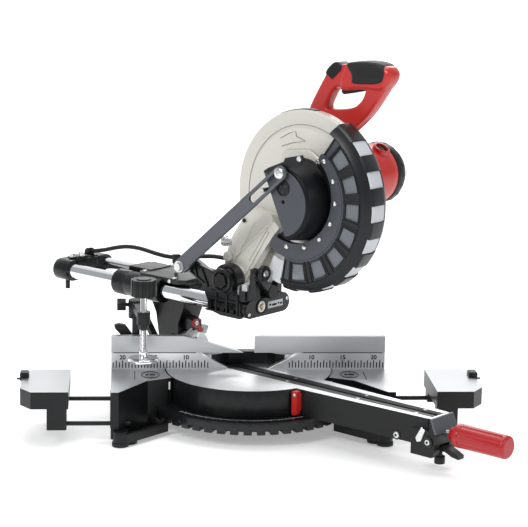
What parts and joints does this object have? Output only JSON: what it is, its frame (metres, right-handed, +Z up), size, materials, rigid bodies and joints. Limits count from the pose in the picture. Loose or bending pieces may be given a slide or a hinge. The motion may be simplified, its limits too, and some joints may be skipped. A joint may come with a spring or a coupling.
{
  "type": "sliding mitre saw",
  "caption": "Bench mitre saw on twin slide rails, with a turning slotted table, tilting column, chopping saw head, retracting guard and clamp.",
  "frame": {"origin": "on the mitre axis at the bench plane, centre of the four bench holes", "axes": "+X along the fence to the right, +Y to the rear, +Z up; the saw arm rests turned 45 degrees to the right"},
  "size_m": [0.728, 0.6792, 0.5869],
  "materials": {
    "black_cast": "gloss",
    "machined": "machined",
    "dark_plate": "satin",
    "black_plastic": "satin",
    "black_gloss": "gloss",
    "cream": "satin",
    "red_plastic": "gloss",
    "red_grip": "satin",
    "rubber_black": "matte",
    "chrome": "polished",
    "steel": "brushed",
    "smoke": "smoked",
    "grey_guard": "satin",
    "bronze": "plain"
  },
  "bodies": {
    "base": {"base_casting": "black_cast", "miter_scale_ring": "machined", "fixed_fence": "machined", "base_feet": "rubber_black", "clamp_post": "steel", "miter_pivot_bolt": "steel"},
    "left_fence": {"left_upper_fence": "machined"},
    "left_fence_knob": {"left_fence_lock": "black_plastic"},
    "right_fence": {"right_upper_fence": "machined"},
    "right_fence_knob": {"right_fence_lock": "black_plastic"},
    "left_extension": {"left_wing": "black_cast", "left_wing_rods": "chrome"},
    "left_stop": {"left_flip_stop": "steel"},
    "left_wing_knob": {"left_wing_lock": "black_plastic"},
    "right_extension": {"right_wing": "black_cast", "right_wing_rods": "chrome"},
    "right_stop": {"right_flip_stop": "steel"},
    "right_wing_knob": {"right_wing_lock": "black_plastic"},
    "clamp_arm": {"clamp_bracket": "black_cast"},
    "clamp_lock": {"clamp_lock_knob": "black_plastic"},
    "clamp_spindle": {"clamp_screw": "chrome", "clamp_knob": "black_plastic"},
    "table": {"turntable": "black_cast", "kerf_plates": "black_plastic", "angle_pointer": "red_plastic"},
    "miter_lock": {"miter_lock_rod": "steel", "miter_lock_handle": "red_grip"},
    "detent": {"detent_lever": "black_plastic"},
    "arm_foot": {"front_foot": "black_plastic"},
    "bevel": {"bevel_neck": "black_cast", "carriage": "black_cast", "linear_bushings": "bronze", "bevel_pivot_bolt": "steel"},
    "bevel_lever": {"bevel_lock_lever": "black_plastic"},
    "slide_lock": {"slide_lock_knob": "black_plastic"},
    "slide": {"slide_rails": "chrome", "rear_yoke": "black_cast", "front_bracket": "black_cast", "head_pivot_shaft": "steel", "torsion_spring": "steel", "power_flex": "rubber_black", "flex_fittings": "black_plastic"},
    "depth_screw": {"depth_stop": "black_plastic"},
    "head": {"saw_arm": "cream", "upper_guard": "cream", "arbor_cover": "black_gloss", "motor_housing": "red_plastic", "motor_end_cap": "black_plastic", "handle_near_shell": "red_plastic", "handle_far_shell": "red_plastic", "rubber_grip": "rubber_black"},
    "guard": {"lower_guard": "grey_guard", "guard_windows": "smoke"},
    "link": {"link_bar": "grey_guard"},
    "blade": {"saw_blade": "steel", "arbor_shaft": "steel", "driven_gear": "steel"},
    "rotor": {"armature": "steel"},
    "power_trigger": {"trigger": "black_plastic"},
    "lock_off": {"lock_off_button": "black_plastic"}
  },
  "joints": [
    {"name": "left_fence_slide", "type": "slide", "parent": "base", "child": "left_fence", "axis": [-1, 0, 0], "range_m": [0, 0.06]},
    {"name": "left_fence_lock_turn", "type": "hinge", "parent": "left_fence", "child": "left_fence_knob", "pos_m": [-0.085, 0.035, 0.1188], "axis": [0, 1, 0], "range_deg": [-90, 0]},
    {"name": "right_fence_slide", "type": "slide", "parent": "base", "child": "right_fence", "axis": [1, 0, 0], "range_m": [0, 0.06]},
    {"name": "right_fence_lock_turn", "type": "hinge", "parent": "right_fence", "child": "right_fence_knob", "pos_m": [0.085, 0.035, 0.1188], "axis": [0, 1, 0], "range_deg": [-90, 0]},
    {"name": "left_wing_slide", "type": "slide", "parent": "base", "child": "left_extension", "axis": [1, 0, 0], "range_m": [0, 0.052]},
    {"name": "left_stop_flip", "type": "hinge", "parent": "left_extension", "child": "left_stop", "pos_m": [-0.355, -0.0495, 0.082], "axis": [1, 0, 0], "range_deg": [-90, 0]},
    {"name": "left_wing_lock_turn", "type": "hinge", "parent": "base", "child": "left_wing_knob", "pos_m": [-0.184, 0.046, 0.052], "axis": [0, 1, 0], "range_deg": [-90, 0]},
    {"name": "right_wing_slide", "type": "slide", "parent": "base", "child": "right_extension", "axis": [-1, 0, 0], "range_m": [0, 0.052]},
    {"name": "right_stop_flip", "type": "hinge", "parent": "right_extension", "child": "right_stop", "pos_m": [0.355, -0.0495, 0.082], "axis": [1, 0, 0], "range_deg": [-90, 0]},
    {"name": "right_wing_lock_turn", "type": "hinge", "parent": "base", "child": "right_wing_knob", "pos_m": [0.184, 0.046, 0.052], "axis": [0, 1, 0], "range_deg": [-90, 0]},
    {"name": "clamp_height", "type": "slide", "parent": "base", "child": "clamp_arm", "axis": [0, 0, 1], "range_m": [-0.012, 0]},
    {"name": "clamp_lock_turn", "type": "hinge", "parent": "clamp_arm", "child": "clamp_lock", "pos_m": [-0.203, 0.022, 0.184], "axis": [1, 0, 0], "range_deg": [-90, 0]},
    {"name": "clamp_feed", "type": "slide", "parent": "clamp_arm", "child": "clamp_spindle", "axis": [0, 0, 1], "range_m": [-0.015, 0]},
    {"name": "miter_turn", "type": "hinge", "parent": "base", "child": "table", "pos_m": [0, 0, 0.06], "axis": [0, 0, 1], "range_deg": [-90, 0]},
    {"name": "miter_lock_turn", "type": "hinge", "parent": "table", "child": "miter_lock", "pos_m": [0.3182, -0.3182, 0.061], "axis": [-0.7071, 0.7071, 0], "range_deg": [0, 180]},
    {"name": "detent_lift", "type": "hinge", "parent": "table", "child": "detent", "pos_m": [0.27117, -0.27117, 0.038], "axis": [0.7071, 0.7071, 0], "range_deg": [-9, 0], "stiffness_Nm_per_rad": 1, "springref_deg": 5.73},
    {"name": "arm_foot_screw", "type": "slide", "parent": "table", "child": "arm_foot", "axis": [0, 0, 1], "range_m": [-0.012, 0.003]},
    {"name": "bevel_tilt", "type": "hinge", "parent": "table", "child": "bevel", "pos_m": [-0.10607, 0.10607, 0.084], "axis": [-0.7071, 0.7071, 0], "range_deg": [-15, 0]},
    {"name": "bevel_lock_turn", "type": "hinge", "parent": "bevel", "child": "bevel_lever", "pos_m": [-0.13789, 0.13789, 0.084], "axis": [-0.7071, 0.7071, 0], "range_deg": [-40, 0]},
    {"name": "head_slide", "type": "slide", "parent": "bevel", "child": "slide", "axis": [-0.7071, 0.7071, 0], "range_m": [-0.105, 0.068]},
    {"name": "slide_lock_turn", "type": "hinge", "parent": "bevel", "child": "slide_lock", "pos_m": [-0.11314, 0.11314, 0.222], "axis": [0, 0, 1], "range_deg": [-90, 0]},
    {"name": "depth_screw_turn", "type": "hinge", "parent": "slide", "child": "depth_screw", "pos_m": [0.03359, -0.03005, 0.2165], "axis": [-0.7071, 0.7071, 0], "range_deg": [0, 180]},
    {"name": "head_chop", "type": "hinge", "parent": "slide", "child": "head", "pos_m": [-0.00495, 0.00495, 0.236], "axis": [0.7071, 0.7071, 0], "range_deg": [0, 57], "stiffness_Nm_per_rad": 12, "springref_deg": -91.67},
    {"name": "guard_retract", "type": "hinge", "parent": "head", "child": "guard", "pos_m": [0.08344, -0.08344, 0.376], "axis": [0.7071, 0.7071, 0], "range_deg": [-110, 0]},
    {"name": "link_swing", "type": "hinge", "parent": "slide", "child": "link", "pos_m": [-0.10394, 0.00495, 0.251], "axis": [0.7071, 0.7071, 0], "range_deg": [-2, 46]},
    {"name": "blade_spin", "type": "hinge", "parent": "head", "child": "blade", "pos_m": [0.08344, -0.08344, 0.376], "axis": [0.7071, 0.7071, 0], "continuous": true},
    {"name": "rotor_spin", "type": "hinge", "parent": "head", "child": "rotor", "pos_m": [0.13294, -0.0198, 0.394], "axis": [0.7071, 0.7071, 0], "continuous": true},
    {"name": "trigger_press", "type": "slide", "parent": "head", "child": "power_trigger", "axis": [0, 0, 1], "range_m": [0, 0.003], "stiffness_N_per_m": 600, "springref_m": -0.002},
    {"name": "lock_off_press", "type": "slide", "parent": "head", "child": "lock_off", "axis": [0.3409, -0.3409, -0.8761], "range_m": [0, 0.002], "stiffness_N_per_m": 600, "springref_m": -0.002}
  ],
  "couplings": [
    {"joint": "guard_retract", "follows": "head_chop", "ratio": -1.842},
    {"joint": "link_swing", "follows": "head_chop", "ratio": 0.752},
    {"joint": "rotor_spin", "follows": "blade_spin", "ratio": -3.875}
  ]
}
